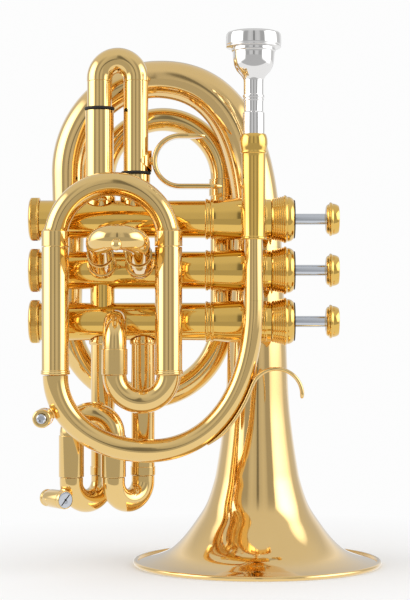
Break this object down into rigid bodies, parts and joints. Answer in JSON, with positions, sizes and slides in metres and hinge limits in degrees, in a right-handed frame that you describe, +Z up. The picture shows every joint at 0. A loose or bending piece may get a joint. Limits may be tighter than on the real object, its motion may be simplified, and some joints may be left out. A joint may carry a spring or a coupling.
{
  "type": "pocket trumpet",
  "caption": "Pocket trumpet: a coiled brass wind instrument with sprung piston valves, pull-out tuning slides, push-button water keys and a removable mouthpiece.",
  "frame": {"origin": "middle of the bounding box's footprint, on the surface that the bell rim stands on", "axes": "+Z up along the bell's axis, from the bell rim to the mouthpiece; +X along the valves towards the finger buttons; -Y towards the player's right side, where the mouthpiece and leadpipe are"},
  "size_m": [0.1814, 0.1512, 0.2697],
  "materials": {
    "lacquer": "lacquered, polished",
    "valve_lacquer": "lacquered, polished",
    "silver": "silver plate, mirror",
    "nickel": "polished nickel",
    "spring_steel": "drawn",
    "stop_rubber": "matt",
    "pearl": "pearl"
  },
  "bodies": {
    "horn": {"bell": "lacquer", "bell_bow": "lacquer", "coil_bow": "lacquer", "coil_arch": "lacquer", "valve_casing_1": "valve_lacquer", "bottom_cap_1": "valve_lacquer", "top_cap_1": "valve_lacquer", "valve_spring_1": "spring_steel", "valve_casing_2": "valve_lacquer", "bottom_cap_2": "valve_lacquer", "top_cap_2": "valve_lacquer", "valve_spring_2": "spring_steel", "valve_casing_3": "valve_lacquer", "bottom_cap_3": "valve_lacquer", "top_cap_3": "valve_lacquer", "valve_spring_3": "spring_steel", "crossover_lower": "valve_lacquer", "crossover_upper": "valve_lacquer", "first_slide_sleeve_left": "lacquer", "first_slide_sleeve_right": "lacquer", "first_slide_ring_left": "stop_rubber", "first_slide_ring_right": "stop_rubber", "second_slide_sleeve_left": "lacquer", "second_slide_sleeve_right": "lacquer", "third_slide_sleeve_left": "lacquer", "third_slide_sleeve_right": "lacquer", "third_slide_arch": "lacquer", "receiver": "lacquer", "leadpipe": "lacquer", "leadpipe_bow": "lacquer", "tuning_sleeve_left": "lacquer", "tuning_sleeve_right": "lacquer", "return_bow": "lacquer", "return_elbow": "lacquer", "water_key_bow_body": "lacquer", "finger_hook": "lacquer", "lead_brace": "lacquer", "bell_brace": "lacquer", "coil_brace": "lacquer"},
    "valve_1": {"piston_1": "nickel", "finger_button_1": "nickel", "button_inlay_1": "pearl"},
    "valve_2": {"piston_2": "nickel", "finger_button_2": "nickel", "button_inlay_2": "pearl"},
    "valve_3": {"piston_3": "nickel", "finger_button_3": "nickel", "button_inlay_3": "pearl"},
    "tuning_slide": {"tuning_crook": "lacquer"},
    "first_slide": {"first_slide_crook": "lacquer", "thumb_saddle": "lacquer"},
    "second_slide": {"second_slide_crook": "lacquer"},
    "third_slide_left": {"third_slide_crook_left": "lacquer", "water_key_slide_body": "lacquer"},
    "third_slide_right": {"third_slide_crook_right": "lacquer"},
    "water_key_bow_push": {"water_key_bow_button": "nickel"},
    "water_key_slide_push": {"water_key_slide_button": "nickel"},
    "mouthpiece_body": {"mouthpiece": "silver"}
  },
  "joints": [
    {"name": "valve_1_press", "type": "slide", "parent": "horn", "child": "valve_1", "axis": [-1, 0, 0], "range_m": [0, 0.015], "stiffness_N_per_m": 100, "springref_m": -0.03, "deforming": ["valve_spring_1"]},
    {"name": "valve_2_press", "type": "slide", "parent": "horn", "child": "valve_2", "axis": [-1, 0, 0], "range_m": [0, 0.015], "stiffness_N_per_m": 100, "springref_m": -0.03, "deforming": ["valve_spring_2"]},
    {"name": "valve_3_press", "type": "slide", "parent": "horn", "child": "valve_3", "axis": [-1, 0, 0], "range_m": [0, 0.015], "stiffness_N_per_m": 100, "springref_m": -0.03, "deforming": ["valve_spring_3"]},
    {"name": "tuning_slide_pull", "type": "slide", "parent": "horn", "child": "tuning_slide", "axis": [0, 0, 1], "range_m": [0, 0.028]},
    {"name": "first_slide_pull", "type": "slide", "parent": "horn", "child": "first_slide", "axis": [0, 0, 1], "range_m": [0, 0.012]},
    {"name": "second_slide_pull", "type": "slide", "parent": "horn", "child": "second_slide", "axis": [0, -0.9613, 0.2756], "range_m": [0, 0.012]},
    {"name": "third_slide_left_pull", "type": "slide", "parent": "horn", "child": "third_slide_left", "axis": [0, 0, -1], "range_m": [0, 0.015]},
    {"name": "third_slide_right_pull", "type": "slide", "parent": "horn", "child": "third_slide_right", "axis": [0, 0, -1], "range_m": [0, 0.015]},
    {"name": "mouthpiece_pull", "type": "slide", "parent": "horn", "child": "mouthpiece_body", "axis": [0, 0, 1], "range_m": [0, 0.025]},
    {"name": "water_key_bow_press", "type": "slide", "parent": "horn", "child": "water_key_bow_push", "axis": [0, 1, 0], "range_m": [0, 0.0018], "stiffness_N_per_m": 500, "springref_m": -0.004},
    {"name": "water_key_slide_press", "type": "slide", "parent": "third_slide_left", "child": "water_key_slide_push", "axis": [0.6371, -0.7707, 0], "range_m": [0, 0.0018], "stiffness_N_per_m": 500, "springref_m": -0.004}
  ]
}
